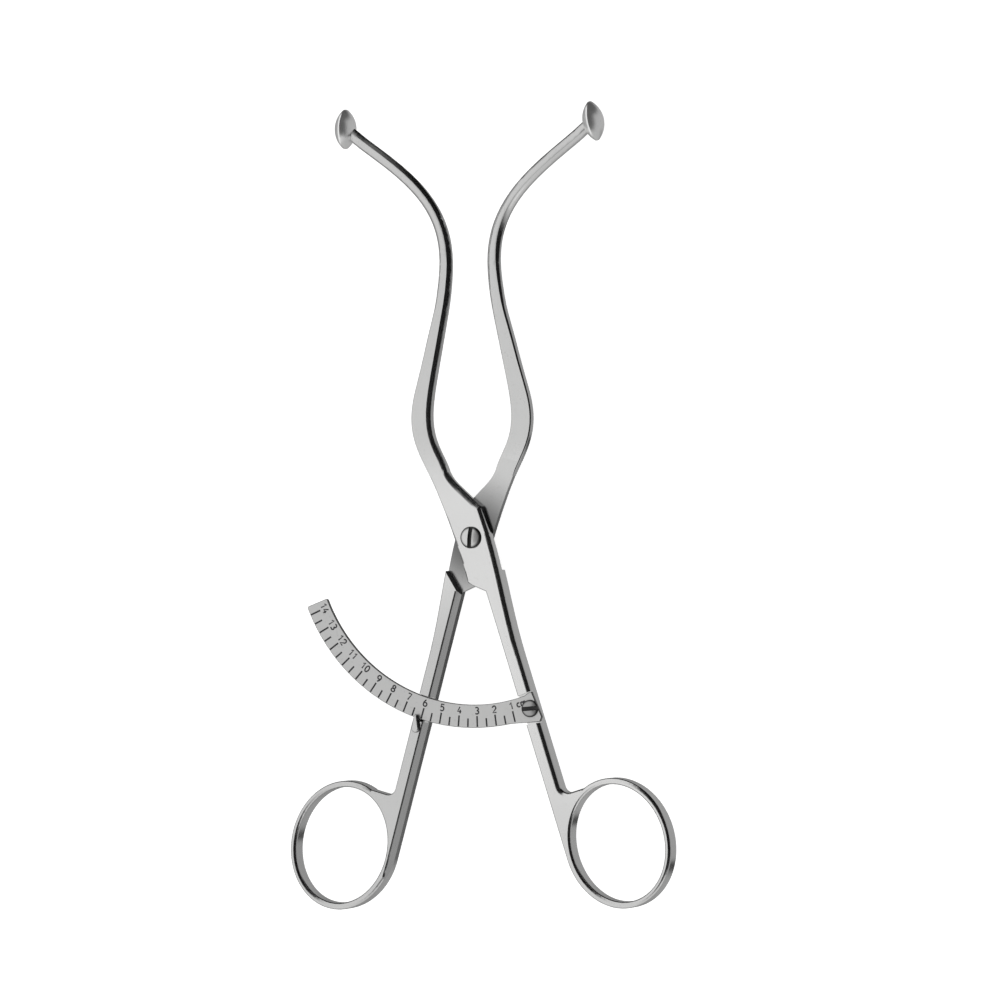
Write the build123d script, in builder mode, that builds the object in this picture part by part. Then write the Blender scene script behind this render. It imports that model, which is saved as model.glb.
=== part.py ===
"""Hand pelvimeter: two crossed levers on a slotted joint screw, with finger rings, round
measuring discs on S-shaped arms, and an arc scale held on one shank and guided on the other.

Frame: the joint screw's axis is the Z axis and the back face of the joint is z = 0. The front
faces +Z, the measuring discs are up +Y and the finger rings are down -Y. The levers stand at
the opening at which the instrument lies.
"""

import os
from math import cos, hypot, radians, sin, sqrt, tan

from build123d import *

# Levers: every length in millimetres, every angle in degrees
thickness = 5.0            # full thickness of shanks and rings
edge_round = 0.7           # rounding of the shank, ring and joint edges
outer_round = 1.2          # larger rounding of the front edge on the outer side
lap_clearance = 0.04       # between the two mating faces of the joint
arm_relief = 0.16          # each arm stands back this far from the mating plane
front_lean = 17.9          # the front shank leans out to the right by this angle
rear_lean = 15.05          # the rear shank leans out to the left by this angle
front_arm_set = 1.0        # sideways set of the front disc from the drawn arm line
rear_arm_set = -1.0        # sideways set of the rear disc from the drawn arm line

# Shank, in the lever's own frame: the shank runs straight down, parallel to -Y
shank_inner = -0.5         # x of the edge that faces the other shank
shank_width = 3.6
facet_width = 0.9          # flat facet along the inner back edge, as wide as this
facet_depth = 2.0          # and as deep as this
facet_overrun = 0.2        # the cutter of the facet stands out by this share of it
facet_round = 0.5          # rounding of its ridge on the back face
shank_flare_start = -30.0  # y at which the outer edge starts to flare into the joint
joint_inner = 4.15         # half-width of the joint plate towards the other shank
joint_outer = 4.6          # half-width of the joint plate on the outer side
joint_low = -9.8           # y of the lower corner on the inner side
joint_swell = 0.22         # the inner edge bulges by this
joint_swell_y = 5.5        # at this height above the axis
joint_nose = 0.9           # width of the small corner cut below it
joint_nose_drop = 1.08     # and its height
joint_heel = -13.2         # y at which the plate's lower edge meets the shank
joint_top = 6.2            # y of the outer upper corner
joint_corner = 1.2         # its radius
joint_taper = 0.15         # and the plate narrows by this towards it
arm_root = 16.5            # y at which the plate becomes the arm
root_margin = 0.1          # an edge this near it is left for the arm
smooth_angle = 20.0        # faces that meet at less than this need no rounding
arm_root_center = -3.2
arm_root_width = 4.6
root_roundness = 0.05      # 0 is a section with flat sides, 1 is a full circle
root_hollow_x = 1.45       # the edge from the corner to the arm is hollow and passes here
root_hollow_y = 11.1
hollow_start = 52.0        # its slope at the corner
hollow_end = 82.0          # and where it becomes the arm
relief_run = 14.0          # the arm draws back from the mating plane over this length
step_x = 4.0               # the lap step's wall passes through this point
step_y = -9.6
step_slope = 43.6          # and falls inwards at this angle

# Arm: centre line, width across and thickness, from the joint to the disc
arm_stations = [
    # x, y, width, depth, roundness
    (-3.65, 20.0, 4.90, 2.34, 0.05),
    (-4.30, 25.5, 5.00, 2.34, 0.05),
    (-3.14, 31.9, 5.05, 2.34, 0.08),
    (0.00, 38.2, 4.45, 2.38, 0.15),
    (3.49, 44.3, 4.00, 2.45, 0.24),
    (6.98, 50.4, 3.60, 2.55, 0.36),
    (10.30, 56.6, 3.35, 2.65, 0.52),
    (12.91, 63.0, 3.25, 2.75, 0.74),
    (14.31, 69.9, 3.15, 2.90, 0.92),
    (13.62, 76.9, 3.00, 2.95, 1.00),
    (11.04, 83.5, 2.95, 2.95, 1.00),
    (7.24, 89.7, 2.95, 2.95, 1.00),
    (2.90, 95.6, 2.95, 2.95, 1.00),
]
stem_dia = 2.95            # round end of the arm
arm_inner_round = 1.25     # rounding of the front edge that faces the other arm
arm_outer_round = 0.5      # and of the front edge on the other side
arm_edge_break = 0.3       # small break on the edges of the mating side
root_edge_break = 0.05     # which fades out at the root, where the plate's edge is sharp

# Measuring disc: a double-domed button on the end of the stem
disc_center_x = -1.7
disc_center_y = 102.05
disc_dia = 9.4
disc_front_dome = 2.15
disc_back_dome = 2.2
disc_rim = 0.36            # straight rim between the two domes
disc_edge_round = 0.12
front_disc_angle = 160.6   # direction of the disc's face in the lever's own frame
rear_disc_angle = 155.1
stem_in_disc = 0.55        # the stem stops this far short of the disc's centre
stem_straight = 3.4        # straight end of the stem, measured from the disc's centre
socket_clearance = 0.02

# Finger ring, in the lever's own frame
ring_x = 12.7
ring_y = -79.15
ring_hole_x = 11.4         # half-axes of the opening
ring_hole_y = 13.95
ring_side = 1.5            # metal on the outer side
ring_end = 1.5             # metal at the bottom
web_top = -64.4            # y of the straight web between shank and ring
web_fillet = 1.9
ring_tilt = -1.0

# Joint screw
head_dia = 5.1
head_rise = 1.1            # the head stands this far above the front face
head_lip = 0.55            # straight side of the head above the front face
head_shoulder = 0.5        # rounding between side and dome
head_sink = 0.45           # the cylindrical foot of the head, sunk in its seat
head_seat_gap = 0.1        # around the head
pivot_dia = 3.6
pivot_clearance = 0.03
thread_dia = 3.0
thread_clearance = 0.02
head_under_gap = 0.04
slot_width = 1.0
slot_depth = 0.85
joint_slot_angle = 85.0

# Scale bar
scale_inner = 39.45
scale_outer = 44.9
scale_thickness = 1.0
scale_seat = 3.5           # z of the pocket floor in the front lever's shank
scale_seat_gap = 0.02
scale_free_end = 88.3      # degrees from the scale screw to the free end
scale_corner = 0.45
scale_edge_break = 0.12    # small break along the upper edges
scale_screw_out = 0.575    # the scale screw stands this far outside the bar's middle line
scale_screw_angle = -70.0
tab_corner_x = 2.38        # corners of the wider end, from the scale screw's centre
tab_corner_y = -3.08
tab_side_x = 2.88
tab_side_y = -1.93
tab_top_x = 0.28
tab_top_y = 3.97
tab_inner_x = -0.32
tab_inner_y = 3.77
tab_outer_foot = 7.7       # the wider end leaves the bar's outer edge this many degrees along
tab_inner_foot = 4.15      # and its inner edge here
tab_foot_overlap = 0.8     # this far inside the bar
pocket_x = -0.42           # from the screw's centre: the pocket's two walls cross this x
pocket_top_y = 3.92        # at these heights
pocket_low_y = -3.81
pocket_top_slope = 22.0    # and rise at these angles
pocket_low_slope = 10.8
groove_sweep = 24.0        # the guide groove runs out past both sides of the shank
guide_inner_gap = 0.3      # between the bar and the walls of the guide groove
guide_outer_gap = 0.5
guide_floor_gap = 0.12
tick_first = 1             # centimetre marks
tick_last = 14
tick_pitch = 6.13          # degrees of bar for one centimetre
tick_origin = -0.25        # degrees from the scale screw to the zero of the division
tick_long = 2.6
tick_short = 2.0
tick_width = 0.4
tick_depth = 0.1
tick_margin = 0.2          # the marks stop this far inside the outer edge

# Scale screw
scale_screw_head = 4.1
scale_screw_rise = 0.8
scale_screw_foot = 0.35
scale_screw_shoulder = 0.25
scale_screw_thread = 2.0
scale_screw_length = 2.6   # of thread in the shank
scale_screw_clearance = 0.03
scale_slot_width = 1.0
scale_slot_depth = 0.55
scale_slot_angle = 5.0

# Guide hook on the rear shank
hook_root_angle = -107.0
hook_tip_angle = -107.9
hook_root_out = 2.3        # root centre, outside the bar's outer edge
hook_width = 2.0
hook_reach = 0.9           # the nose covers this much of the bar
hook_nose_width = 1.0
hook_nose_gap = 0.12       # between nose and bar
hook_height = 0.9          # above the front face
hook_round = 0.45
hook_pin_dia = 1.3
hook_pin_length = 2.4
hook_clearance = 0.02

mid = thickness / 2
front_face = thickness
lap_front = mid + lap_clearance / 2
disc_radius = disc_dia / 2
scale_back = scale_seat + scale_seat_gap
scale_front = scale_back + scale_thickness
plane_of_travel = Axis((0, 0, mid), (0, 1, 0))


def polar(radius, angle):
    """A point at a radius and an angle about the joint axis."""
    return (radius * cos(radians(angle)), radius * sin(radians(angle)))


def set_over(x, y, arm_set):
    """Moves a point of the arm sideways in proportion to its height above the joint."""
    share = (y - arm_root) / (disc_center_y - arm_root)
    return (x + arm_set * share, y)


def draw_arm_section(width, foot, top, edge_break, roundness):
    """Draws one cross-section of the arm: flat sides with rounded edges, up to a full circle."""
    radius = width / 2
    inset = radius * (1 - cos(radians(22.5))) * roundness
    octagon = radius * (1 - sin(radians(22.5)))
    inner = arm_inner_round + (octagon - arm_inner_round) * roundness
    outer = arm_outer_round + (octagon - arm_outer_round) * roundness
    lower = edge_break + (octagon - edge_break) * roundness
    side = radius - inset
    points = [
        # start of a side, and the sharp corner that the side rounds off, if it does
        ((-side, foot + lower), None),
        ((-side, top - outer), (-side, top - inset)),
        ((-radius + outer, top - inset), None),
        ((radius - inner, top - inset), (side, top - inset)),
        ((side, top - inner), None),
        ((side, foot + lower), (side, foot + inset)),
        ((radius - lower, foot + inset), None),
        ((-radius + lower, foot + inset), (-side, foot + inset)),
    ]
    with BuildLine() as outline:
        for (start, corner), (end, beyond) in zip(points, points[1:] + points[:1]):
            swell = 2 * inset / hypot(end[0] - start[0], end[1] - start[1])
            round_x = (start[0] + end[0]) / 2 - (end[1] - start[1]) * swell
            round_y = (start[1] + end[1]) / 2 + (end[0] - start[0]) * swell
            sharp_x, sharp_y = corner or (round_x, round_y)
            control = (
                sharp_x + (round_x - sharp_x) * roundness,
                sharp_y + (round_y - sharp_y) * roundness,
            )
            Bezier(start, control, end)
    make_face(outline.edges())


def stem_line(arm_set):
    """The disc's centre, and the direction in which the straight end of the stem runs to it."""
    center = (disc_center_x + arm_set, disc_center_y)
    last = set_over(arm_stations[-1][0], arm_stations[-1][1], arm_set)
    run = hypot(center[0] - last[0], center[1] - last[1])
    return center, ((center[0] - last[0]) / run, (center[1] - last[1]) / run)


def across_plane(x, y, direction):
    """A plane square to the arm, with its own x across the arm and its own y up."""
    return Plane(
        origin=(x, y, 0),
        x_dir=(direction[1], -direction[0], 0),
        z_dir=(-direction[0], -direction[1], 0),
    )


def arm(arm_set):
    """The S-shaped arm from the joint plate to the straight end of the stem."""
    center, heading = stem_line(arm_set)
    foot = mid + arm_relief
    stem_start = (
        center[0] - heading[0] * stem_straight,
        center[1] - heading[1] * stem_straight,
    )
    places = [(arm_root_center, arm_root)]
    places += [set_over(x, y, arm_set) for x, y, *rest in arm_stations]
    places += [stem_start, center]
    with BuildPart() as limb:
        with BuildSketch(across_plane(arm_root_center, arm_root, (0, 1))):
            draw_arm_section(
                arm_root_width, lap_front, front_face, root_edge_break, root_roundness
            )
        for number, (x, y, width, depth, roundness) in enumerate(arm_stations, start=1):
            before, here, after = places[number - 1:number + 2]
            run = hypot(after[0] - before[0], after[1] - before[1])
            direction = ((after[0] - before[0]) / run, (after[1] - before[1]) / run)
            if number == len(arm_stations):
                direction = heading
            drawn_back = min(1, (y - arm_root) / relief_run)
            with BuildSketch(across_plane(here[0], here[1], direction)):
                draw_arm_section(
                    width,
                    lap_front + (foot - lap_front) * drawn_back,
                    foot + depth,
                    arm_edge_break,
                    roundness,
                )
        with BuildSketch(across_plane(stem_start[0], stem_start[1], heading)):
            draw_arm_section(stem_dia, foot, foot + stem_dia, arm_edge_break, 1)
        loft()
        with BuildSketch(across_plane(stem_start[0], stem_start[1], heading)):
            with Locations((0, foot + stem_dia / 2)):
                Circle(stem_dia / 2)
        extrude(amount=stem_in_disc - stem_straight)
    return limb.part


def on_outer_side(point):
    """Whether a point lies on the outer edge, between the web and the arm."""
    shank_middle = shank_inner + shank_width / 2
    return point.X > shank_middle and web_top + web_fillet < point.Y < arm_root


def is_sharp(plate, rim):
    """Whether an edge is still sharp, and not the one where the arm joins."""
    place = rim.center()
    beside = [face for face in plate.faces() if any(rim.is_same(own) for own in face.edges())]
    first, second = [face.normal_at(place) for face in beside]
    at_root = abs(place.Y - arm_root) < root_margin
    return first.get_angle(second) > smooth_angle and not at_root


def lever_plate():
    """Joint plate, shank and finger ring in one plan, full thickness, with rounded edges."""
    shank_outer = shank_inner + shank_width
    root_left = arm_root_center - arm_root_width / 2
    root_right = arm_root_center + arm_root_width / 2
    outer_x = (ring_x + ring_hole_x + ring_side + shank_inner) / 2
    outer_half = (ring_x + ring_hole_x + ring_side - shank_inner) / 2
    with BuildPart() as plate:
        with BuildSketch():
            with BuildLine():
                ThreePointArc(
                    (root_left, arm_root),
                    (-joint_inner - joint_swell, joint_swell_y),
                    (-joint_inner, joint_low),
                )
                Polyline(
                    (-joint_inner, joint_low),
                    (-joint_inner + joint_nose, joint_low - joint_nose_drop),
                    (shank_inner, joint_heel),
                    (shank_inner, ring_y),
                    (ring_x, ring_y),
                    (ring_x, web_top),
                    (shank_outer, web_top),
                    (shank_outer, shank_flare_start),
                )
                Spline(
                    (shank_outer, shank_flare_start),
                    (joint_outer, 0),
                    tangents=[(0, 1), (0, 1)],
                )
                Line((joint_outer, 0), (joint_outer - joint_taper, joint_top))
                Spline(
                    (joint_outer - joint_taper, joint_top),
                    (root_hollow_x, root_hollow_y),
                    (root_right, arm_root),
                    tangents=[
                        (-cos(radians(hollow_start)), sin(radians(hollow_start))),
                        (-cos(radians(hollow_end)), sin(radians(hollow_end))),
                    ],
                )
                Line((root_right, arm_root), (root_left, arm_root))
            make_face()
            with Locations((outer_x, ring_y)):
                Ellipse(outer_half, ring_hole_y + ring_end, rotation=ring_tilt)
            with Locations((ring_x, ring_y)):
                Ellipse(ring_hole_x, ring_hole_y, rotation=ring_tilt, mode=Mode.SUBTRACT)
        extrude(amount=thickness)
        upright = plate.edges().filter_by(Axis.Z)
        fillet(upright.sort_by_distance((shank_outer, web_top, mid))[0], web_fillet)
        upright = plate.edges().filter_by(Axis.Z)
        fillet(upright.sort_by_distance((joint_outer, joint_top, mid))[0], joint_corner)
        rims = plate.faces().sort_by(Axis.Z)[-1].edges()
        fillet(rims.filter_by(lambda rim: on_outer_side(rim.center())), outer_round)
        rims = plate.faces().sort_by(Axis.Z)[0].edges()
        rims += plate.faces().sort_by(Axis.Z)[-1].edges()
        fillet(rims.filter_by(lambda rim: is_sharp(plate, rim)), edge_round)
        with BuildSketch(Plane.XZ.offset(-joint_heel)):
            with BuildLine():
                over_x = facet_width * facet_overrun
                over_z = facet_depth * facet_overrun
                Polyline(
                    (shank_inner - over_x, -over_z),
                    (shank_inner + facet_width + over_x, -over_z),
                    (shank_inner - over_x, facet_depth + over_z),
                    (shank_inner - over_x, -over_z),
                )
            make_face()
        extrude(amount=joint_heel - ring_y + ring_hole_y, mode=Mode.SUBTRACT)
        ridge_middle = (shank_inner + facet_width, (joint_heel + ring_y) / 2, 0)
        fillet(plate.edges().sort_by_distance(ridge_middle)[0], facet_round)
    return plate.part


def lever(arm_set):
    """A whole lever in its own frame, seen from the side that its joint plate faces."""
    with BuildPart() as blank:
        add(lever_plate())
        with BuildSketch():
            with BuildLine():
                reach = 2 * arm_root
                Polyline(
                    (-reach, step_height(-reach)),
                    (reach, step_height(reach)),
                    (reach, 2 * arm_root + reach),
                    (-reach, 2 * arm_root + reach),
                    (-reach, step_height(-reach)),
                )
            make_face()
        extrude(amount=lap_front, mode=Mode.SUBTRACT)
        add(arm(arm_set))
    return blank.part


def step_height(x):
    """y of the lap step's wall at a given x of the lever's own frame."""
    return step_y + (x - step_x) * tan(radians(step_slope))


def dome_arc(radius, rise, base, side):
    """Draws the arc of a shallow dome from its rim to its top; side is 1 for up, -1 for down."""
    ball = (radius ** 2 + rise ** 2) / (2 * rise)
    half = radius / 2
    ThreePointArc(
        (radius, base),
        (half, base + side * (sqrt(ball ** 2 - half ** 2) - ball + rise)),
        (0, base + side * rise),
    )


def measuring_disc(arm_set, disc_angle):
    """The double-domed button, with the socket in which the stem's end is brazed."""
    center, heading = stem_line(arm_set)
    height = mid + arm_relief + stem_dia / 2
    with BuildPart() as button:
        with BuildSketch(Plane.XZ) as profile:
            with BuildLine():
                dome_arc(disc_radius, disc_front_dome, disc_rim / 2, 1)
                Line((disc_radius, disc_rim / 2), (disc_radius, -disc_rim / 2))
                dome_arc(disc_radius, disc_back_dome, -disc_rim / 2, -1)
                Line(
                    (0, -disc_rim / 2 - disc_back_dome),
                    (0, disc_rim / 2 + disc_front_dome),
                )
            make_face()
            fillet(profile.vertices().sort_by(Axis.X)[-2:], disc_edge_round)
        revolve(axis=Axis.Z)
    face = (cos(radians(disc_angle)), sin(radians(disc_angle)), 0)
    socket = across_plane(
        center[0] - heading[0] * stem_in_disc,
        center[1] - heading[1] * stem_in_disc,
        heading,
    )
    with BuildPart() as disc:
        with Locations(Plane(origin=(center[0], center[1], height), x_dir=(0, 0, 1), z_dir=face)):
            add(button.part)
        with BuildSketch(socket):
            with Locations((0, height)):
                Circle(stem_dia / 2 + socket_clearance)
        extrude(amount=2 * disc_dia, mode=Mode.SUBTRACT)
    return disc.part


def to_front(piece):
    """Turns a front piece from the lever's own frame to where it lies."""
    return piece.rotate(Axis.Z, front_lean)


def to_rear(piece):
    """Turns a rear piece over about the mating plane, and to where it lies."""
    return piece.rotate(plane_of_travel, 180).rotate(Axis.Z, -rear_lean)


def screw_head(radius, foot_z, lip_z, top_z, shoulder, slot, depth, slot_angle):
    """A domed screw head with a cylindrical foot, a rounded shoulder and a straight slot."""
    with BuildPart() as head:
        with BuildSketch(Plane.XZ) as profile:
            with BuildLine():
                dome_arc(radius, top_z - lip_z, lip_z, 1)
                Polyline((radius, lip_z), (radius, foot_z), (0, foot_z), (0, top_z))
            make_face()
            fillet(profile.vertices().sort_by_distance((radius, lip_z))[0], shoulder)
        revolve(axis=Axis.Z)
        with BuildSketch(Plane.XY.offset(top_z - depth)):
            Rectangle(3 * radius, slot, rotation=slot_angle)
        extrude(amount=2 * depth, mode=Mode.SUBTRACT)
    return head.part


def band(inner, outer, start, sweep):
    """Draws a piece of a flat ring about the joint axis, from one angle over a sweep."""
    with BuildLine() as outline:
        first = CenterArc((0, 0), outer, start, sweep)
        second = CenterArc((0, 0), inner, start, sweep)
        Line(first @ 0, second @ 0)
        Line(first @ 1, second @ 1)
    make_face(outline.edges())


os.makedirs("parts", exist_ok=True)

# Front lever: the one that carries the scale, with the arm that goes to the left disc
scale_middle = (scale_inner + scale_outer) / 2
scale_x, scale_y = polar(scale_middle + scale_screw_out, scale_screw_angle)
with BuildPart() as front_lever:
    add(to_front(lever(front_arm_set)))
    with Locations((0, 0, front_face)):
        CounterBoreHole(
            pivot_dia / 2 + pivot_clearance,
            head_dia / 2 + head_seat_gap,
            head_sink + head_under_gap,
        )
    reach = 2 * shank_width
    with BuildSketch(Plane.XY.offset(scale_seat)):
        left = scale_x + pocket_x - reach
        right = scale_x + pocket_x + reach
        top = scale_y + pocket_top_y
        low = scale_y + pocket_low_y
        top_rise = reach * tan(radians(pocket_top_slope))
        low_rise = reach * tan(radians(pocket_low_slope))
        with BuildLine():
            Polyline(
                (left, top - top_rise),
                (left, low - low_rise),
                (right, low + low_rise),
                (right, top + top_rise),
                (left, top - top_rise),
            )
        make_face()
    extrude(amount=thickness, mode=Mode.SUBTRACT)
    with Locations((scale_x, scale_y, scale_seat)):
        Hole(scale_screw_thread / 2 + thread_clearance, scale_screw_length + thread_clearance)
front_lever.part.label = "front_lever"

# Rear lever: threaded for the joint screw, grooved for the scale, drilled for the hook
hook_root = polar(scale_outer + hook_root_out, hook_root_angle)
with BuildPart() as rear_lever:
    add(to_rear(lever(rear_arm_set)))
    with Locations((0, 0, front_face)):
        Hole(thread_dia / 2 + thread_clearance)
    with BuildSketch(Plane.XY.offset(scale_back - guide_floor_gap)):
        band(
            scale_inner - guide_inner_gap,
            scale_outer + guide_outer_gap,
            hook_root_angle - groove_sweep / 2,
            groove_sweep,
        )
    extrude(amount=thickness, mode=Mode.SUBTRACT)
    with Locations((*hook_root, front_face)):
        Hole(hook_pin_dia / 2 + hook_clearance, hook_pin_length + hook_clearance)
rear_lever.part.label = "rear_lever"

# Measuring discs
with BuildPart() as left_disc:
    add(to_front(measuring_disc(front_arm_set, front_disc_angle)))
left_disc.part.label = "left_disc"

with BuildPart() as right_disc:
    add(to_rear(measuring_disc(rear_arm_set, rear_disc_angle)))
right_disc.part.label = "right_disc"

# Joint screw: a head sunk in the front lever, a plain pivot, and a thread in the rear lever
with BuildPart() as joint_screw:
    with BuildSketch():
        Circle(thread_dia / 2)
    extrude(amount=mid - lap_clearance / 2)
    with BuildSketch(Plane.XY.offset(mid - lap_clearance / 2)):
        Circle(pivot_dia / 2)
    extrude(amount=front_face - head_sink - mid + lap_clearance / 2)
    add(screw_head(
        head_dia / 2,
        front_face - head_sink,
        front_face + head_lip,
        front_face + head_rise,
        head_shoulder,
        slot_width,
        slot_depth,
        joint_slot_angle,
    ))
joint_screw.part.label = "joint_screw"

# Scale bar: an arc about the joint axis, with a mark at every half centimetre of reading
with BuildPart() as scale_bar:
    with BuildSketch(Plane.XY.offset(scale_back)) as bar_plan:
        band(
            scale_inner,
            scale_outer,
            scale_screw_angle - scale_free_end,
            scale_free_end,
        )
        fillet(bar_plan.vertices().sort_by(Axis.Y)[-2:], scale_corner)
        outer_foot = polar(scale_outer, scale_screw_angle - tab_outer_foot)
        inner_foot = polar(scale_inner + tab_foot_overlap, scale_screw_angle - tab_inner_foot)
        tab_corner = (scale_x + tab_corner_x, scale_y + tab_corner_y)
        with BuildLine():
            Polyline(
                outer_foot,
                tab_corner,
                (scale_x + tab_side_x, scale_y + tab_side_y),
                (scale_x + tab_top_x, scale_y + tab_top_y),
                (scale_x + tab_inner_x, scale_y + tab_inner_y),
                inner_foot,
                outer_foot,
            )
        make_face()
        fillet(bar_plan.vertices().sort_by_distance(tab_corner)[:2], scale_corner)
    extrude(amount=scale_thickness)
    chamfer(scale_bar.faces().sort_by(Axis.Z)[-1].edges(), scale_edge_break)
    with Locations((scale_x, scale_y, scale_front)):
        Hole(scale_screw_thread / 2 + scale_screw_clearance)
    for half in range(2 * tick_first, 2 * tick_last + 1):
        length = tick_long if half % 2 == 0 else tick_short
        angle = scale_screw_angle - tick_origin - half / 2 * tick_pitch
        x, y = polar(scale_outer - tick_margin - length / 2, angle)
        with BuildSketch(Plane.XY.offset(scale_front - tick_depth)):
            with Locations((x, y)):
                Rectangle(length, tick_width, rotation=angle)
        extrude(amount=2 * tick_depth, mode=Mode.SUBTRACT)
scale_bar.part.label = "scale_bar"

# Scale screw
with BuildPart() as screw_shape:
    with BuildSketch(Plane.XY.offset(scale_seat - scale_screw_length)):
        Circle(scale_screw_thread / 2)
    extrude(amount=scale_screw_length + scale_thickness + scale_seat_gap)
    add(screw_head(
        scale_screw_head / 2,
        scale_front,
        scale_front + scale_screw_foot,
        scale_front + scale_screw_rise,
        scale_screw_shoulder,
        scale_slot_width,
        scale_slot_depth,
        scale_slot_angle,
    ))
with BuildPart() as scale_screw:
    with Locations((scale_x, scale_y)):
        add(screw_shape.part)
scale_screw.part.label = "scale_screw"

# Guide hook: a claw pinned to the rear shank, with its nose over the bar's outer edge
hook_tip = polar(scale_outer - hook_reach + hook_nose_width / 2, hook_tip_angle)
with BuildPart() as guide_hook:
    with BuildSketch(Plane.XY.offset(front_face)) as claw:
        with Locations(hook_root):
            Circle(hook_width / 2)
        with Locations(hook_tip):
            Circle(hook_nose_width / 2)
        make_hull()
    extrude(amount=hook_height)
    with BuildSketch(Plane.XY.offset(scale_front + hook_nose_gap)) as nose:
        with Locations(hook_tip):
            Circle(hook_nose_width / 2)
    extrude(amount=hook_height)
    fillet(guide_hook.faces().sort_by(Axis.Z)[-1].edges(), hook_round)
    with BuildSketch(Plane.XY.offset(front_face - hook_pin_length)):
        with Locations(hook_root):
            Circle(hook_pin_dia / 2)
    extrude(amount=hook_pin_length)
guide_hook.part.label = "guide_hook"

export_step(front_lever.part, "parts/front_lever.step")
export_step(rear_lever.part, "parts/rear_lever.step")
export_step(left_disc.part, "parts/left_disc.step")
export_step(right_disc.part, "parts/right_disc.step")
export_step(joint_screw.part, "parts/joint_screw.step")
export_step(scale_bar.part, "parts/scale_bar.step")
export_step(scale_screw.part, "parts/scale_screw.step")
export_step(guide_hook.part, "parts/guide_hook.step")
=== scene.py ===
"""Looks of a hand pelvimeter: satin forged levers, a blasted arc scale with dark figures,
bright screws, and a pale studio around them. Lengths of the object are in metres."""

from math import cos, radians, sin

import bpy
from mathutils import Matrix, Vector


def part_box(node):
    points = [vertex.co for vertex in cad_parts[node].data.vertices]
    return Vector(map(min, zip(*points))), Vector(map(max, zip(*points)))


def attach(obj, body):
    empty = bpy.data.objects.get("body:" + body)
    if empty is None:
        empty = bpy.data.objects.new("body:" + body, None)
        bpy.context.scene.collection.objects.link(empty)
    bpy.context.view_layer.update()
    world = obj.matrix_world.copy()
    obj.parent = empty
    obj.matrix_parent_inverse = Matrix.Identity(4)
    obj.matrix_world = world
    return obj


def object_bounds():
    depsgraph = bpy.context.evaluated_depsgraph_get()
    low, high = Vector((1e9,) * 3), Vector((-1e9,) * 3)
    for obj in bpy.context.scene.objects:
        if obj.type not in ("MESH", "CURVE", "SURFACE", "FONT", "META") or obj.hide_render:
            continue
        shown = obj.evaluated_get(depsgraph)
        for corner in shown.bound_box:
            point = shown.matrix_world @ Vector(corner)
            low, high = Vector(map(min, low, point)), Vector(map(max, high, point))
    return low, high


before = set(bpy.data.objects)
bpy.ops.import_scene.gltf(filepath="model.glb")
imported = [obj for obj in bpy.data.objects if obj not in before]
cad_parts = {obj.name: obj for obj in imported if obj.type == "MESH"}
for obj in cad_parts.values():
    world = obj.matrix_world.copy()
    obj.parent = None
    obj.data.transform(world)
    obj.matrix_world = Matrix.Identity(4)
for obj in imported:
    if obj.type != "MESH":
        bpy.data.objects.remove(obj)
CAD_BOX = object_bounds()

bl_info = {
    "name": "Pelvimeter finishes",
    "version": (1, 0, 0),
    "blender": (4, 5, 0),
    "location": "3D View > Sidebar > Pelvimeter",
    "description": "Steel finishes, scale figures and a pale studio for a hand pelvimeter",
    "category": "Object",
}

MM = 0.001

# The pieces and their places
LEVERS = ("front_lever", "rear_lever")
DISCS = ("left_disc", "right_disc")
MATING_Z = 2.5 * MM  # the plane in which the levers slide
LAP_PLAY = 0.06 * MM  # the lap faces lie within this of the plane
STEP_LINES = (radians(61.5), radians(-58.65))  # directions in which the steps' walls run
STEP_REACH = 17.0 * MM  # the steps lie no farther than this below the joint
SLOT_WIDTH = 1.0 * MM
SLOT_EDGE = 0.03 * MM  # how closely a face has to fit into its slot
SMOOTH_ANGLE = radians(28.0)

# How square a face stands to a direction before it counts as one that faces it
FLAT = 0.99
WALL_OF_SLOT = 0.98
FLOOR_OF_SLOT = 0.999
WALL_OF_STEP = 0.995
FACE_OF_SCALE = 0.95
WALL_OF_MARK = 0.05  # a mark's wall is square to the scale's face, so it stays below this

# The scale's marks and figures
SCALE_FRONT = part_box("scale_bar")[1].z
SCALE_START = radians(-69.75)
SCALE_PITCH = radians(6.13)
MARK_TOP = SCALE_FRONT - 0.01 * MM  # the marks' floors lie between these two heights
MARK_BOTTOM = SCALE_FRONT - 0.11 * MM
MARK_WALL_BOTTOM = SCALE_FRONT - 0.101 * MM
LAST_FIGURE = 14
UNIT_PLACE = 0.45
FIGURE_PITCH = 0.78
STROKE_FLATNESS = 0.15
STROKE_ROUNDING = 2

# Painted shade: how bright the steels are painted from place to place
RING_PAINTED_SHADE = {  # level at the ring, and the heights between which it rises to full
    "front_lever": (0.85, -90.0 * MM, -40.0 * MM),
    "rear_lever": (0.8, -30.0 * MM, 2.0 * MM),
}
ARM_PAINTED_SHADE = (8.0 * MM, 26.0 * MM, 1.0, 0.82)  # two heights, and the levels there
LAP_PAINTED_SHADE = (3.0 * MM, 18.0 * MM, 0.2, 0.85)  # two distances from the joint, and the levels
RIM_FADE = (0.7, 0.95)  # parts of a screw head's radius
RIM_LEVEL = 0.04
FOOT_HEIGHT = 0.3 * MM  # how far below the hook's top its foot is dark
FOOT_LEVELS = (0.06, 0.85)

# The camera
VIEW_TARGET = (2.0 * MM, 7.66 * MM, MATING_Z)  # the point that it looks at
TARGET_PIXEL = (482.5, 505.0)  # where that point stands in the picture
FRAME_PIXELS = 1000.0  # the picture's width
SENSOR_WIDTH = 36.0
CLIP_RANGE = (0.1, 20.0)

# The floor
FLOOR_HALF = 3.0
FLOOR_DROP = 0.05 * MM
FLOOR_PAINT = 0.8
FLOOR_GLOW = 0.72

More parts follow.
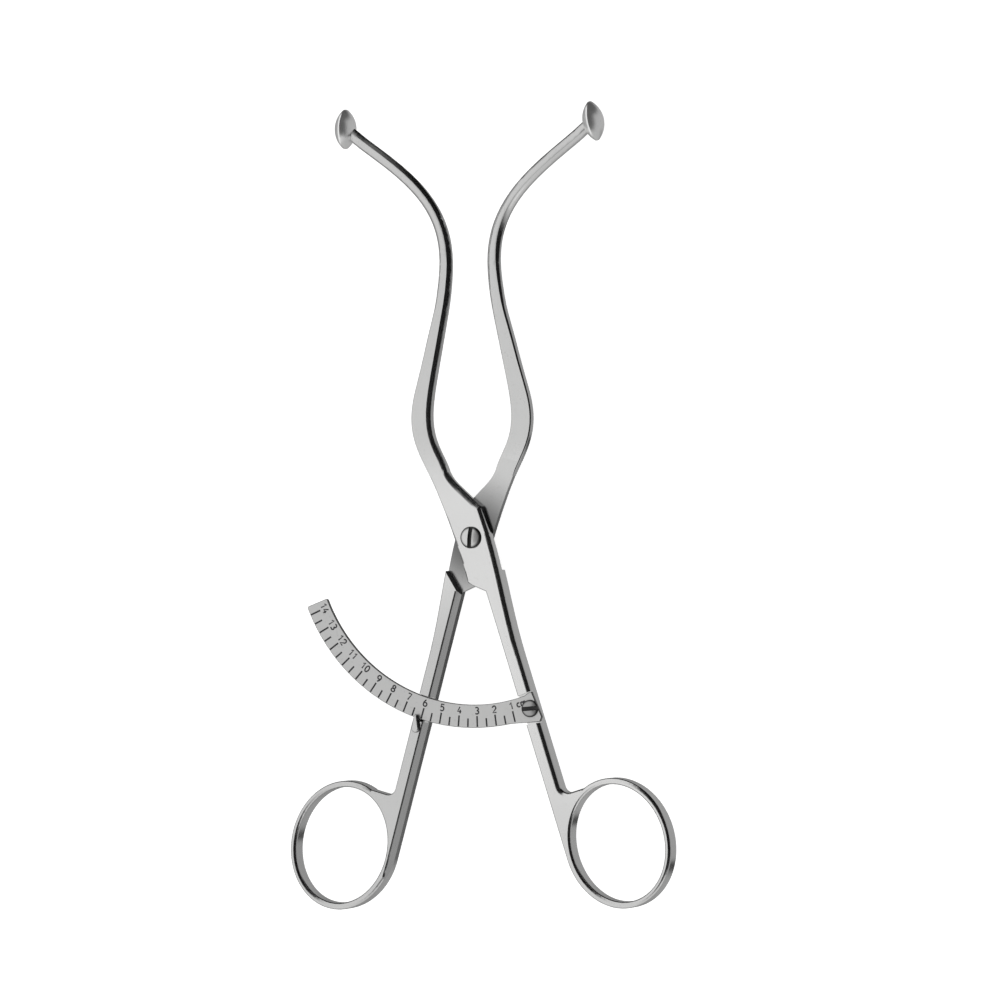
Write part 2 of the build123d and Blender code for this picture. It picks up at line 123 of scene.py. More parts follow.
# The small lamp
LAMP_TOWARD = (0.66, -0.6, 0.45)
LAMP_DISTANCE = 0.8
LAMP_SIZE = 0.25

# The light tent that the steel mirrors. A pair is an edge that fades from its first place
# to its second, as parts of a direction of length 1: x to the right, y to the back, z up.
TENT_PLAIN = 0.7  # the even light that falls on everything else
TENT_LEFT = 0.93  # the pale side above
RIGHT_EDGE = (-0.18, 0.08)  # to the right of it the tent is black
BACK_START = 0.4  # behind this the black side reaches farther to the left
BACK_SLANT = -0.45
CARD_EDGE = (-0.6, -0.34)  # a pale card at the front of the black side
CARD_LEVEL = 0.8
TABLE_BACK = (0.42, 0.6)  # the grey table below, which ends at the back
TABLE_SIDES = (-0.3, 0.1)
TABLE_LEVELS = (0.3, 0.44)  # at the left and at the right
GAP_FRONT = (-0.26, -0.21)  # the dark gap in the table
GAP_BACK = (-0.165, -0.135)
GAP_LEFT = (-0.08, 0.06)
GAP_RIGHT = (0.42, 0.62)
GAP_LEVEL = 0.03
HORIZON = (-0.3, 0.1)


# Settings a user would change


class SteelSettings(bpy.types.PropertyGroup):
    """Finishes of the levers, the discs and the screws"""

    forged: bpy.props.FloatVectorProperty(
        name="Forged steel",
        description="Colour of the satin faces of the levers",
        subtype="COLOR",
        size=3,
        min=0,
        max=1,
        default=(0.74, 0.74, 0.735),
    )
    forged_roughness: bpy.props.FloatProperty(
        name="Satin roughness",
        description="Roughness of the levers' satin finish",
        subtype="FACTOR",
        min=0,
        max=1,
        default=0.2,
    )
    buffed: bpy.props.FloatVectorProperty(
        name="Buffed steel",
        description="Colour of the measuring discs",
        subtype="COLOR",
        size=3,
        min=0,
        max=1,
        default=(0.9, 0.9, 0.895),
    )
    turned: bpy.props.FloatVectorProperty(
        name="Turned steel",
        description="Colour of the bright screws and the guide hook",
        subtype="COLOR",
        size=3,
        min=0,
        max=1,
        default=(0.72, 0.72, 0.715),
    )
    # Painted shade: this dark colour is painted into the screw slots and onto the step walls.
    grime: bpy.props.FloatVectorProperty(
        name="Slot shade",
        description="Colour of the dark residue in screw slots",
        subtype="COLOR",
        size=3,
        min=0,
        max=1,
        default=(0.012, 0.012, 0.012),
    )


class ScaleSettings(bpy.types.PropertyGroup):
    """Finish and figures of the arc scale"""

    blasted: bpy.props.FloatVectorProperty(
        name="Blasted steel",
        description="Colour of the scale's matt face",
        subtype="COLOR",
        size=3,
        min=0,
        max=1,
        default=(0.62, 0.62, 0.615),
    )
    # Painted shade: the scale's walls and edges are painted this dark colour.
    edge: bpy.props.FloatVectorProperty(
        name="Scale edge",
        description="Colour of the scale's darkened edges",
        subtype="COLOR",
        size=3,
        min=0,
        max=1,
        default=(0.16, 0.16, 0.158),
    )
    ink: bpy.props.FloatVectorProperty(
        name="Filling",
        description="Colour of the filling in the marks and figures",
        subtype="COLOR",
        size=3,
        min=0,
        max=1,
        default=(0.02, 0.02, 0.022),
    )
    figure_height: bpy.props.FloatProperty(
        name="Figure height",
        description="Height of the figures on the scale",
        subtype="DISTANCE",
        unit="LENGTH",
        min=0.5 * MM,
        max=3 * MM,
        default=1.6 * MM,
    )
    stroke: bpy.props.FloatProperty(
        name="Stroke width",
        description="Width of the engraved strokes of the figures",
        subtype="DISTANCE",
        unit="LENGTH",
        min=0.05 * MM,
        max=0.5 * MM,
        default=0.34 * MM,
    )
    figure_radius: bpy.props.FloatProperty(
        name="Figure radius",
        description="Distance from the joint's axis to the middle of the figures",
        subtype="DISTANCE",
        unit="LENGTH",
        min=38 * MM,
        max=46 * MM,
        default=40.85 * MM,
    )


class StageSettings(bpy.types.PropertyGroup):
    """View and light"""

    yaw: bpy.props.FloatProperty(
        name="Camera yaw",
        description="Angle of the camera to the right of the joint's axis",
        subtype="ANGLE",
        unit="ROTATION",
        default=radians(20.0),
    )
    distance: bpy.props.FloatProperty(
        name="Camera distance",
        description="Distance from the camera to the middle of the view",
        subtype="DISTANCE",
        unit="LENGTH",
        default=1.5,
    )
    span: bpy.props.FloatProperty(
        name="View width",
        description="Width of what the camera sees at that distance",
        subtype="DISTANCE",
        unit="LENGTH",
        default=0.236,
    )
    background: bpy.props.FloatProperty(
        name="Background",
        description="Brightness of the pale background, where 1 is white",
        subtype="FACTOR",
        min=0,
        max=1,
        default=1.0,
    )
    lamp_power: bpy.props.FloatProperty(
        name="Lamp power",
        description="Power of the small lamp on the lower right",
        subtype="POWER",
        unit="POWER",
        min=0,
        default=0.05,
    )


# Node helpers


def new_material(name):
    """A material with an empty node tree and an output, and the Principled shader in it."""
    material = bpy.data.materials.new(name)
    material.use_nodes = True
    tree = material.node_tree
    tree.nodes.clear()
    output = tree.nodes.new("ShaderNodeOutputMaterial")
    shader = tree.nodes.new("ShaderNodeBsdfPrincipled")
    tree.links.new(shader.outputs["BSDF"], output.inputs["Surface"])
    return material, tree, shader


def add_node(tree, kind, inputs=None, **settings):
    """A node with its settings, and with values or links for its inputs."""
    node = tree.nodes.new(kind)
    for key, value in settings.items():
        setattr(node, key, value)
    for key, value in (inputs or {}).items():
        if isinstance(value, bpy.types.NodeSocket):
            tree.links.new(value, node.inputs[key])
        else:
            node.inputs[key].default_value = value
    return node


def steel_grain_group():
    """Fine grinding marks, clouds and pits: a colour, a roughness and a height."""
    grind_stretch = (1.0, 0.12, 1.0)  # the marks run along the instrument
    cloud_scale = 90.0
    pit_scale = 1400.0
    pit_range = (0.62, 0.72)
    pit_tone = -0.05
    pit_depth = -0.6
    line_roughness = 0.12
    cloud_roughness = 0.8
    found = bpy.data.node_groups.get("steel_grain")
    if found:
        return found
    group = bpy.data.node_groups.new("steel_grain", "ShaderNodeTree")
    face = group.interface
    for name, value in (
        ("Brightness", 0.7),
        ("Roughness", 0.2),
        ("Grain scale", 2500.0),
        ("Cloudiness", 0.05),
    ):
        socket = face.new_socket(name=name, in_out="INPUT", socket_type="NodeSocketFloat")
        socket.default_value = value
    colour = face.new_socket(name="Tint", in_out="INPUT", socket_type="NodeSocketColor")
    colour.default_value = (1, 1, 1, 1)
    face.new_socket(name="Colour", in_out="OUTPUT", socket_type="NodeSocketColor")
    face.new_socket(name="Roughness", in_out="OUTPUT", socket_type="NodeSocketFloat")
    face.new_socket(name="Height", in_out="OUTPUT", socket_type="NodeSocketFloat")
    start = group.nodes.new("NodeGroupInput")
    end = group.nodes.new("NodeGroupOutput")
    place = add_node(group, "ShaderNodeTexCoord")
    stretch = add_node(
        group,
        "ShaderNodeMapping",
        {"Vector": place.outputs["Object"], "Scale": grind_stretch},
    )
    lines = add_node(
        group,
        "ShaderNodeTexNoise",
        {
            "Vector": stretch.outputs["Vector"],
            "Scale": start.outputs["Grain scale"],
            "Detail": 4.0,
            "Roughness": 0.6,
        },
    )
    cloud = add_node(
        group,
        "ShaderNodeTexNoise",
        {"Vector": place.outputs["Object"], "Scale": cloud_scale, "Detail": 3.0},
    )
    speck = add_node(
        group,
        "ShaderNodeTexNoise",
        {"Vector": place.outputs["Object"], "Scale": pit_scale, "Detail": 2.0},
    )
    pits = add_node(
        group,
        "ShaderNodeMapRange",
        {
            "Value": speck.outputs["Fac"],
            "From Min": pit_range[0],
            "From Max": pit_range[1],
            "To Min": 0.0,
            "To Max": 1.0,
        },
    )
    spread = add_node(
        group,
        "ShaderNodeMath",
        {0: cloud.outputs["Fac"], 1: 0.5},
        operation="SUBTRACT",
    )
    cloudy = add_node(
        group,
        "ShaderNodeMath",
        {0: spread.outputs[0], 1: start.outputs["Cloudiness"]},
        operation="MULTIPLY",
    )
    level = add_node(
        group,
        "ShaderNodeMath",
        {0: cloudy.outputs[0], 1: start.outputs["Brightness"]},
        operation="ADD",
    )
    worn = add_node(
        group,
        "ShaderNodeMath",
        {0: pits.outputs["Result"], 1: pit_tone, 2: level.outputs[0]},
        operation="MULTIPLY_ADD",
    )
    tone = add_node(
        group,
        "ShaderNodeVectorMath",
        {0: start.outputs["Tint"], "Scale": worn.outputs[0]},
        operation="SCALE",
    )
    rough_lines = add_node(
        group,
        "ShaderNodeMath",
        {0: lines.outputs["Fac"], 1: line_roughness, 2: -line_roughness / 2},
        operation="MULTIPLY_ADD",
    )
    rough_cloud = add_node(
        group,
        "ShaderNodeMath",
        {0: cloudy.outputs[0], 1: cloud_roughness, 2: rough_lines.outputs[0]},
        operation="MULTIPLY_ADD",
    )
    rough = add_node(
        group,
        "ShaderNodeMath",
        {0: rough_cloud.outputs[0], 1: start.outputs["Roughness"]},
        operation="ADD",
    )
    sunk = add_node(
        group,
        "ShaderNodeMath",
        {0: pits.outputs["Result"], 1: pit_depth, 2: lines.outputs["Fac"]},
        operation="MULTIPLY_ADD",
    )
    group.links.new(tone.outputs[0], end.inputs["Colour"])
    group.links.new(rough.outputs[0], end.inputs["Roughness"])
    group.links.new(sunk.outputs[0], end.inputs["Height"])
    return group


def steel(
    name,
    colour,
    roughness,
    grain=2500.0,
    cloudiness=0.05,
    bump=0.02 * MM,
    metallic=1.0,
    shade=None,
):
    """A steel with grain; shade, if given, makes a socket of painted shade that multiplies its
    brightness.
    """
    material, tree, shader = new_material(name)
    shader.inputs["Metallic"].default_value = metallic
    level = max(colour)
    grain_node = add_node(tree, "ShaderNodeGroup", node_tree=steel_grain_group())
    for key, value in {
        "Tint": [channel / level for channel in colour] + [1],
        "Roughness": roughness,
        "Grain scale": grain,
        "Cloudiness": cloudiness,
        "Brightness": level,
    }.items():
        grain_node.inputs[key].default_value = value
    colour_socket = grain_node.outputs["Colour"]
    if shade:
        shaded = add_node(
            tree,
            "ShaderNodeVectorMath",
            {0: colour_socket, 1: shade(tree)},
            operation="MULTIPLY",
        )
        colour_socket = shaded.outputs[0]
    height = add_node(
        tree,
        "ShaderNodeBump",
        {"Strength": 0.25, "Distance": bump, "Height": grain_node.outputs["Height"]},
    )
    tree.links.new(colour_socket, shader.inputs["Base Color"])
    tree.links.new(grain_node.outputs["Roughness"], shader.inputs["Roughness"])
    tree.links.new(height.outputs["Normal"], shader.inputs["Normal"])
    return material


def ramp_over(tree, value, start, end, low, high):
    """A grey that goes smoothly from low to high as the value goes from start to end."""
    node = add_node(
        tree,
        "ShaderNodeMapRange",
        {"Value": value, "From Min": start, "From Max": end, "To Min": low, "To Max": high},
        interpolation_type="SMOOTHSTEP",
    )
    return node.outputs["Result"]


def multiplied(tree, first, second):
    """The product of two greys."""
    node = add_node(tree, "ShaderNodeMath", {0: first, 1: second}, operation="MULTIPLY")
    return node.outputs[0]


def mixed_value(tree, factor, low, high):
    """A value that goes from low to high with the factor."""
    node = add_node(tree, "ShaderNodeMix", {"Factor": factor}, data_type="FLOAT")
    for socket, value in ((node.inputs[2], low), (node.inputs[3], high)):
        if isinstance(value, bpy.types.NodeSocket):
            tree.links.new(value, socket)
        else:
            socket.default_value = value
    return node.outputs[0]


def handling_shade(ring_level, ring_y, joint_y):
    """Painted shade: a lever is painted brightest at the joint and duller towards its ring and
    along its arm.
    """

    def shade(tree):
        place = add_node(tree, "ShaderNodeTexCoord")
        parts = add_node(tree, "ShaderNodeSeparateXYZ", {"Vector": place.outputs["Object"]})
        along = parts.outputs["Y"]
        return multiplied(
            tree,
            ramp_over(tree, along, ring_y, joint_y, ring_level, 1.0),
            ramp_over(tree, along, *ARM_PAINTED_SHADE),
        )

    return shade


def rim_shade(node, level):
    """Painted shade: a screw's head is painted dark along its rim, for the shade in the gap of
    its seat.
    """
    corner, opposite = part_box(node)
    middle = (corner + opposite) / 2
    radius = (opposite.x - corner.x) / 2
    inner, outer = (part * radius for part in RIM_FADE)

    def shade(tree):
        place = add_node(tree, "ShaderNodeTexCoord")
        flat = add_node(
            tree,
            "ShaderNodeVectorMath",
            {0: place.outputs["Object"], 1: (1.0, 1.0, 0.0)},
            operation="MULTIPLY",
        )
        reach = add_node(
            tree,
            "ShaderNodeVectorMath",
            {0: flat.outputs[0], 1: (middle.x, middle.y, 0.0)},
            operation="DISTANCE",
        )
        return ramp_over(tree, reach.outputs["Value"], inner, outer, level, RIM_LEVEL)

    return shade


def foot_shade(tree):
    """Painted shade: the guide hook is painted bright on top and dark towards its foot."""
    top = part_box("guide_hook")[1].z
    place = add_node(tree, "ShaderNodeTexCoord")
    parts = add_node(tree, "ShaderNodeSeparateXYZ", {"Vector": place.outputs["Object"]})
    return ramp_over(tree, parts.outputs["Z"], top - FOOT_HEIGHT, top, *FOOT_LEVELS)


def lap_shade(tree):
    """Painted shade: the ground lap faces are painted dark at the joint and clear up until they
    are as the arms.
    """
    place = add_node(tree, "ShaderNodeTexCoord")
    distance = add_node(
        tree,
        "ShaderNodeVectorMath",
        {0: place.outputs["Object"], 1: (0.0, 0.0, MATING_Z)},
        operation="DISTANCE",
    )
    return ramp_over(tree, distance.outputs["Value"], *LAP_PAINTED_SHADE)


def filling(name, colour):
    """A dull dark colour, paler in places: the filling of the marks, and painted shade in slots
    and on step walls.
    """
    pale_part = 2.5
    material, tree, shader = new_material(name)
    place = add_node(tree, "ShaderNodeTexCoord")
    noise = add_node(
        tree,
        "ShaderNodeTexNoise",
        {"Vector": place.outputs["Object"], "Scale": 3000.0, "Detail": 3.0},
    )
    mixed = add_node(tree, "ShaderNodeMix", {"Factor": noise.outputs["Fac"]}, data_type="RGBA")
    mixed.inputs["A"].default_value = (*colour, 1)
    mixed.inputs["B"].default_value = (*[channel * pale_part for channel in colour], 1)
    tree.links.new(mixed.outputs["Result"], shader.inputs["Base Color"])
    shader.inputs["Roughness"].default_value = 0.6
    shader.inputs["Metallic"].default_value = 0.0
    return material


# Dressing of the frame's pieces


def smooth(piece):
    """Smooth shading between faces that meet at a small angle."""
    for face in piece.data.polygons:
        face.use_smooth = True
    piece.data.set_sharp_from_angle(angle=SMOOTH_ANGLE)


def dress(node, materials, choose=None):
    """Gives a frame node its materials, and picks one for each face."""
    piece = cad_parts[node]
    piece.data.materials.clear()
    for material in materials:
        piece.data.materials.append(material)
    for face in piece.data.polygons:
        face.material_index = choose(face) if choose else 0
    smooth(piece)
    return piece


def in_slot(node, depth, angle):
    """Picks the faces of a screw's slot: what lies inside the slot's box below the head's top."""
    low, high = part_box(node)
    middle = (low + high) / 2
    across = Vector((-sin(angle), cos(angle), 0))

    def choose(face):
        inside = abs((face.center - middle).dot(across)) < SLOT_WIDTH / 2 + SLOT_EDGE
        below = high.z - depth - SLOT_EDGE < face.center.z < high.z - SLOT_EDGE
        wall = abs(face.normal.dot(across)) > WALL_OF_SLOT
        floor = face.normal.z > FLOOR_OF_SLOT
        return 1 if inside and below and (wall or floor) else 0

    return choose


def is_step_wall(face):
    """Whether a face belongs to the step's wall at the lower end of a lap."""
    if not -STEP_REACH < face.center.y < 0.0:
        return False
    across = [Vector((-sin(angle), cos(angle), 0)) for angle in STEP_LINES]
    return any(abs(face.normal.dot(line)) > WALL_OF_STEP for line in across)


class PELVIMETER_OT_levers(bpy.types.Operator):
    """Gives the two forged levers their satin steel and their ground lap faces"""

    bl_idname = "pelvimeter.levers"
    bl_label = "Finish levers"

    def execute(self, context):
        look = context.scene.pelvimeter_steel
        front, rear = (
            steel(
                name,
                look.forged,
                look.forged_roughness,
                # painted shade: each lever is painted duller towards its ring and along its arm
                shade=handling_shade(*RING_PAINTED_SHADE[node]),
            )
            for name, node in zip(("front_satin", "rear_satin"), LEVERS)
        )
        # painted shade: the lap faces are painted dark at the joint, fading out along the arms
        lap = steel("lap_steel", look.forged, look.forged_roughness, shade=lap_shade)
        # The step walls are painted dark in this colour, as painted shade.
        dark = filling("step_painted_shade", look.grime)

        def choose(face):
            flat = abs(face.normal.z) > FLAT
            if flat and abs(face.center.z - MATING_Z) < LAP_PLAY:
                return 1
            # Step walls get the dark colour, as painted shade.
            return 2 if is_step_wall(face) else 0

        for node, satin in zip(LEVERS, (front, rear)):
            dress(node, [satin, lap, dark], choose)
        return {"FINISHED"}


class PELVIMETER_OT_discs(bpy.types.Operator):
    """Gives the measuring discs a buffed steel, brighter than the levers"""

    bl_idname = "pelvimeter.discs"
    bl_label = "Finish discs"

    def execute(self, context):
        look = context.scene.pelvimeter_steel
        bright = steel("disc_steel", look.buffed, 0.3, metallic=0.85)
        for node in DISCS:
            dress(node, [bright])
        return {"FINISHED"}


class PELVIMETER_OT_screws(bpy.types.Operator):
    """Gives the screws and the guide hook bright steel with painted shade at the heads' rims and
    the hook's foot, and paints their slots dark as painted shade
    """

    bl_idname = "pelvimeter.screws"
    bl_label = "Finish screws"

    def execute(self, context):
        look = context.scene.pelvimeter_steel
        # The screw slots are painted dark in this colour, as painted shade.
        dark = filling("slot_painted_shade", look.grime)
        # The second number is the head's painted brightness inside its rim: the scale screw's
        # head is painted darker, as painted shade.
        for node, level, slot_depth, slot_angle in (
            ("joint_screw", 1.0, 0.85 * MM, radians(85.0)),
            ("scale_screw", 0.55, 0.55 * MM, radians(5.0)),
        ):
            turned = steel(
                node + "_steel",
                look.turned,
                0.3,
                grain=3500.0,
                bump=0.01 * MM,
                metallic=0.7,
                shade=rim_shade(node, level),
            )
            dress(node, [turned, dark], in_slot(node, slot_depth, slot_angle))
        # painted shade: the hook is painted dark towards its foot
        hook = steel("hook_steel", look.turned, 0.25, grain=3500.0, shade=foot_shade)
        dress("guide_hook", [hook])
        return {"FINISHED"}


class PELVIMETER_OT_scale(bpy.types.Operator):
    """Gives the arc scale its blasted face and fills its engraved marks"""

    bl_idname = "pelvimeter.scale"
    bl_label = "Finish scale"

    def execute(self, context):
        look = context.scene.pelvimeter_scale
        blasted = steel(
            "blasted_steel", look.blasted, 0.36, grain=5000.0, cloudiness=0.03, metallic=0.6
        )
        ink = filling("mark_filling", look.ink)
        # The scale's walls are painted dark in this colour, as painted shade.
        edge = steel("edge_shade_steel", look.edge, 0.4, grain=5000.0)

        def choose(face):
            upright = abs(face.normal.z)
            if upright > FACE_OF_SCALE and MARK_BOTTOM < face.center.z < MARK_TOP:
                return 1
            if upright < WALL_OF_MARK and face.center.z > MARK_WALL_BOTTOM:
                return 1
            # All other walls of the scale get the dark edge colour, as painted shade.
            return 2 if upright < FACE_OF_SCALE else 0

        dress("scale_bar", [blasted, ink, edge], choose)
        figures = build_figures(look)
        figures.data.materials.append(ink)
        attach(figures, "front")
        return {"FINISHED"}


def curve_of(center_x, center_y, half_width, half_height, start, end, steps=14):
    """Points on an ellipse from one angle to another, in degrees."""
    angles = [radians(start + (end - start) * step / steps) for step in range(steps + 1)]
    return [
        (center_x + half_width * cos(angle), center_y + half_height * sin(angle))
        for angle in angles
    ]


# Each figure is drawn in strokes, in a box one high and centred on the middle of the figure
FIGURES = {
    "0": [curve_of(0, 0, 0.27, 0.48, 90, 450, 24)],
    "1": [[(-0.2, 0.22), (0.06, 0.48), (0.06, -0.48)]],
    "2": [curve_of(0, 0.2, 0.27, 0.28, 170, -42) + [(-0.28, -0.48), (0.28, -0.48)]],
    "3": [
        curve_of(-0.02, 0.24, 0.25, 0.24, 140, -90),
        curve_of(-0.02, -0.24, 0.29, 0.24, 90, -140),
    ],
    "4": [[(0.04, 0.48), (-0.28, -0.2), (0.3, -0.2)], [(0.12, 0.06), (0.12, -0.48)]],
    "5": [
        [(0.25, 0.48), (-0.2, 0.48), (-0.24, 0.06)]
        + curve_of(-0.02, -0.17, 0.29, 0.31, 125, -140),
    ],
    "6": [
        curve_of(0, -0.2, 0.28, 0.28, 180, 540, 24),
        curve_of(0.3, -0.2, 0.58, 0.74, 180, 115),
    ],
    "7": [[(-0.27, 0.48), (0.28, 0.48), (-0.06, -0.48)]],
    "8": [
        curve_of(0, 0.24, 0.22, 0.24, 90, 450, 20),
        curve_of(0, -0.24, 0.28, 0.24, 90, 450, 20),
    ],
    "9": [
        curve_of(0, 0.2, 0.28, 0.28, 0, 360, 24),
        curve_of(-0.3, 0.2, 0.58, 0.74, 0, -65),
    ],
    "c": [curve_of(0.03, -0.14, 0.26, 0.3, 50, 310)],
    "m": [
        [(-0.36, 0.16), (-0.36, -0.44)],
        curve_of(-0.18, -0.06, 0.18, 0.2, 180, 0) + [(0.0, -0.44)],
        curve_of(0.18, -0.06, 0.18, 0.2, 180, 0) + [(0.36, -0.44)],
    ],
}


def build_figures(look):
    """The figures along the scale's inner edge, upright towards the joint, as flat strokes."""
    words = [(str(number), number) for number in range(1, LAST_FIGURE + 1)]
    words.append(("cm", UNIT_PLACE))
    strokes = bpy.data.curves.new("figure_strokes", "CURVE")
    strokes.dimensions = "3D"
    strokes.bevel_depth = look.stroke / 2
    strokes.bevel_resolution = STROKE_ROUNDING
    strokes.use_fill_caps = True
    for word, centimetres in words:
        angle = SCALE_START - SCALE_PITCH * centimetres
        outwards = Vector((cos(angle), sin(angle), 0))
        onwards = Vector((-sin(angle), cos(angle), 0))
        middle = outwards * look.figure_radius
        for place, figure in enumerate(word):
            along = (place - (len(word) - 1) / 2) * FIGURE_PITCH
            for points in FIGURES[figure]:
                line = strokes.splines.new("POLY")
                line.points.add(len(points) - 1)
                for point, (x, y) in zip(line.points, points):
                    spot = middle + onwards * (along + x) * look.figure_height
                    spot -= outwards * y * look.figure_height
                    point.co = (*spot, 1)
    shape = bpy.data.objects.new("figure_strokes", strokes)
    mesh = bpy.data.meshes.new_from_object(shape)
    bpy.data.objects.remove(shape)
    for vertex in mesh.vertices:
        vertex.co.z = SCALE_FRONT + vertex.co.z * STROKE_FLATNESS
    figures = bpy.data.objects.new("scale_figures", mesh)
    bpy.context.scene.collection.objects.link(figures)
    return figures


# Stage


class PELVIMETER_OT_stage(bpy.types.Operator):
    """Builds the pale floor, the soft studio light around it and the camera"""

    bl_idname = "pelvimeter.stage"
    bl_label = "Build stage"

    def execute(self, context):
        look = context.scene.pelvimeter_stage
        build_floor(look)
        build_world(context.scene, look)
        build_lamp(look)
        build_camera(context.scene, look)
        context.scene.view_settings.view_transform = "Standard"
        return {"FINISHED"}


def build_floor(look):
    """A large pale floor just below the lowest piece, which the steel doesn't mirror."""
    height = CAD_BOX[0].z - FLOOR_DROP
    corners = [
        (side * FLOOR_HALF, end * FLOOR_HALF, height)
        for side, end in ((-1, -1), (1, -1), (1, 1), (-1, 1))
    ]
    mesh = bpy.data.meshes.new("floor")
    mesh.from_pydata(corners, [], [(0, 1, 2, 3)])
    floor = bpy.data.objects.new("floor", mesh)
    bpy.context.scene.collection.objects.link(floor)
    material = bpy.data.materials.new("pale_floor")
    material.use_nodes = True
    tree = material.node_tree
    tree.nodes.clear()
    output = tree.nodes.new("ShaderNodeOutputMaterial")
    paint = add_node(tree, "ShaderNodeBsdfDiffuse", {"Color": (*[FLOOR_PAINT] * 3, 1)})
    glow = add_node(
        tree, "ShaderNodeEmission", {"Color": (1, 1, 1, 1), "Strength": FLOOR_GLOW}
    )
    clear = add_node(tree, "ShaderNodeBsdfTransparent")
    path = add_node(tree, "ShaderNodeLightPath")
    both = add_node(tree, "ShaderNodeAddShader", {0: paint.outputs[0], 1: glow.outputs[0]})
    seen = add_node(
        tree,
        "ShaderNodeMixShader",
        {"Fac": path.outputs["Is Camera Ray"], 1: paint.outputs[0], 2: both.outputs[0]},
    )
    mirrored = add_node(
        tree,
        "ShaderNodeMixShader",
        {"Fac": path.outputs["Is Glossy Ray"], 1: seen.outputs[0], 2: clear.outputs[0]},
    )
    tree.links.new(mirrored.outputs[0], output.inputs["Surface"])
    mesh.materials.append(material)


def build_world(scene, look):
    """A light tent: pale above, black to the right, and a grey table with a dark gap in it.

    Only the steel mirrors it. The camera sees plain white, and other light comes evenly.
    """
    world = bpy.data.worlds.new("tent")
    scene.world = world
    world.use_nodes = True
    tree = world.node_tree
    tree.nodes.clear()
    output = tree.nodes.new("ShaderNodeOutputWorld")
    place = add_node(tree, "ShaderNodeTexCoord")
    parts = add_node(tree, "ShaderNodeSeparateXYZ", {"Vector": place.outputs["Generated"]})
    x, y, z = (parts.outputs[axis] for axis in "XYZ")
    behind = add_node(tree, "ShaderNodeMath", {0: y, 1: BACK_START}, operation="SUBTRACT")
    behind = add_node(tree, "ShaderNodeMath", {0: behind.outputs[0], 1: 0.0}, operation="MAXIMUM")
    slant = add_node(
        tree,
        "ShaderNodeMath",
        {0: behind.outputs[0], 1: BACK_SLANT, 2: x},
        operation="MULTIPLY_ADD",
    )
    right = ramp_over(tree, slant.outputs[0], *RIGHT_EDGE, 0.0, 1.0)
    front_card = ramp_over(tree, y, *CARD_EDGE, CARD_LEVEL, 0.0)
    above = mixed_value(tree, right, TENT_LEFT, front_card)
    table = multiplied(
        tree,
        ramp_over(tree, y, *TABLE_BACK, 1.0, 0.0),
        ramp_over(tree, x, *TABLE_SIDES, *TABLE_LEVELS),
    )
    gap = multiplied(
        tree,
        multiplied(
            tree,
            ramp_over(tree, y, *GAP_FRONT, 0.0, 1.0),
            ramp_over(tree, y, *GAP_BACK, 1.0, 0.0),
        ),
        multiplied(
            tree,
            ramp_over(tree, x, *GAP_LEFT, 0.0, 1.0),
            ramp_over(tree, x, *GAP_RIGHT, 1.0, 0.0),
        ),
    )
    below = mixed_value(tree, gap, table, GAP_LEVEL)
    level = mixed_value(tree, ramp_over(tree, z, *HORIZON, 0.0, 1.0), below, above)
    mirrored = add_node(
        tree, "ShaderNodeBackground", {"Color": (1, 1, 1, 1), "Strength": level}
    )
    plain = add_node(
        tree, "ShaderNodeBackground", {"Color": (1, 1, 1, 1), "Strength": TENT_PLAIN}
    )
    white = add_node(
        tree,
        "ShaderNodeBackground",
        {"Color": (1, 1, 1, 1), "Strength": look.background},
    )
    path = add_node(tree, "ShaderNodeLightPath")
    first = add_node(
        tree,
        "ShaderNodeMixShader",
        {"Fac": path.outputs["Is Glossy Ray"], 1: plain.outputs[0], 2: mirrored.outputs[0]},
    )
    second = add_node(
        tree,
        "ShaderNodeMixShader",
        {"Fac": path.outputs["Is Camera Ray"], 1: first.outputs[0], 2: white.outputs[0]},
    )
    tree.links.new(second.outputs[0], output.inputs["Surface"])


def build_lamp(look):
    """A small soft lamp on the lower right, which brightens the domes on that side."""
    data = bpy.data.lights.new("small_lamp", "AREA")
    data.shape = "DISK"
    data.size = LAMP_SIZE
    data.energy = look.lamp_power
    lamp = bpy.data.objects.new("small_lamp", data)
    direction = Vector(LAMP_TOWARD).normalized()
    lamp.location = direction * LAMP_DISTANCE
    lamp.rotation_euler = direction.to_track_quat("Z", "Y").to_euler()
    bpy.context.scene.collection.objects.link(lamp)


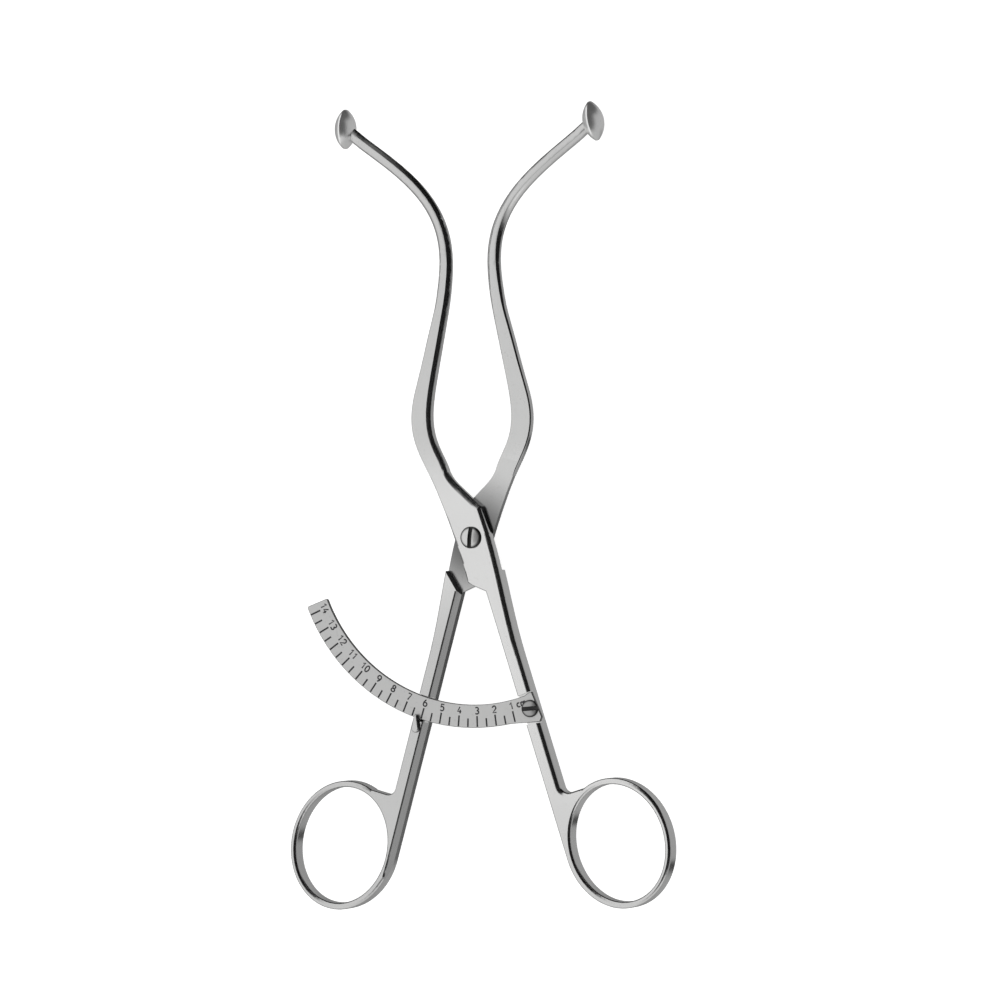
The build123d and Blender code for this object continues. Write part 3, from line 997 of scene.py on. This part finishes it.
def build_camera(scene, look):
    """The camera stands to the right of the joint's axis, level with the instrument."""
    data = bpy.data.cameras.new("camera")
    data.sensor_width = SENSOR_WIDTH
    data.lens = SENSOR_WIDTH * look.distance / look.span
    data.clip_start, data.clip_end = CLIP_RANGE
    camera = bpy.data.objects.new("camera", data)
    scene.collection.objects.link(camera)
    toward = Vector((sin(look.yaw), 0.0, cos(look.yaw)))
    target = Vector(VIEW_TARGET)
    camera.location = target + toward * look.distance
    side = Vector((cos(look.yaw), 0.0, -sin(look.yaw)))
    up = Vector((0.0, 1.0, 0.0))
    camera.rotation_euler = Matrix((side, up, toward)).transposed().to_euler()
    data.shift_x = 0.5 - TARGET_PIXEL[0] / FRAME_PIXELS
    data.shift_y = TARGET_PIXEL[1] / FRAME_PIXELS - 0.5
    scene.camera = camera


# Panel and registration


class PELVIMETER_PT_panel(bpy.types.Panel):
    """Lists the pelvimeter's finishes and its stage"""

    bl_idname = "PELVIMETER_PT_panel"
    bl_label = "Pelvimeter"
    bl_space_type = "VIEW_3D"
    bl_region_type = "UI"
    bl_category = "Pelvimeter"

    def draw(self, context):
        layout = self.layout
        for settings in ("pelvimeter_steel", "pelvimeter_scale", "pelvimeter_stage"):
            group = getattr(context.scene, settings)
            for name in group.bl_rna.properties.keys():
                if name not in ("rna_type", "name"):
                    layout.prop(group, name)
        for operator in OPERATORS:
            layout.operator(operator.bl_idname)


OPERATORS = (
    PELVIMETER_OT_levers,
    PELVIMETER_OT_discs,
    PELVIMETER_OT_screws,
    PELVIMETER_OT_scale,
    PELVIMETER_OT_stage,
)
CLASSES = (SteelSettings, ScaleSettings, StageSettings, *OPERATORS, PELVIMETER_PT_panel)


def register():
    for cls in CLASSES:
        bpy.utils.register_class(cls)
    bpy.types.Scene.pelvimeter_steel = bpy.props.PointerProperty(type=SteelSettings)
    bpy.types.Scene.pelvimeter_scale = bpy.props.PointerProperty(type=ScaleSettings)
    bpy.types.Scene.pelvimeter_stage = bpy.props.PointerProperty(type=StageSettings)


def unregister():
    del bpy.types.Scene.pelvimeter_steel
    del bpy.types.Scene.pelvimeter_scale
    del bpy.types.Scene.pelvimeter_stage
    for cls in reversed(CLASSES):
        bpy.utils.unregister_class(cls)


def main():
    """Registers the add-on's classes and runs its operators."""
    register()
    bpy.ops.pelvimeter.levers()
    bpy.ops.pelvimeter.discs()
    bpy.ops.pelvimeter.screws()
    bpy.ops.pelvimeter.scale()
    bpy.ops.pelvimeter.stage()


if __name__ == "__main__":
    main()
